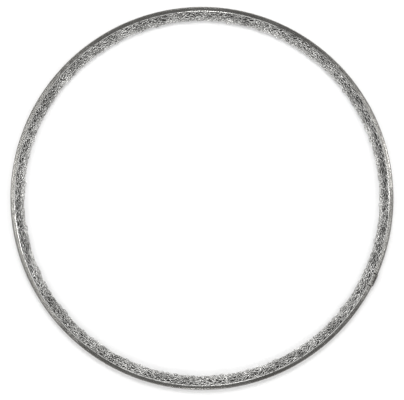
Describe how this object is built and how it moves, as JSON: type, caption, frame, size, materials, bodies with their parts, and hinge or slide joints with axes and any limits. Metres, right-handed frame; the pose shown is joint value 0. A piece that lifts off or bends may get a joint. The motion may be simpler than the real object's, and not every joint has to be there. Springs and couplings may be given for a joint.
{
  "type": "exhaust gasket",
  "caption": "Flat ring of knitted wire mesh pressed into a channel-shaped steel band with a lapped end, which seals a clamped round exhaust joint.",
  "frame": {"origin": "on the ring's axis, in the plane of the lower pressed face, on which the gasket lies", "axes": "+Z along the ring's axis, up through the upper pressed face; the lap of the band lies in the +X, -Y quarter"},
  "size_m": [0.292, 0.292, 0.0055],
  "materials": {
    "band_steel": "rolled stainless sheet, satin, with fine lines along the strip",
    "mesh_wire": "bright drawn stainless wire, knitted and pressed, with dark gaps between the stitches"
  },
  "bodies": {
    "root": {"retaining_band": "band_steel", "mesh_ring": "mesh_wire"}
  },
  "joints": []
}
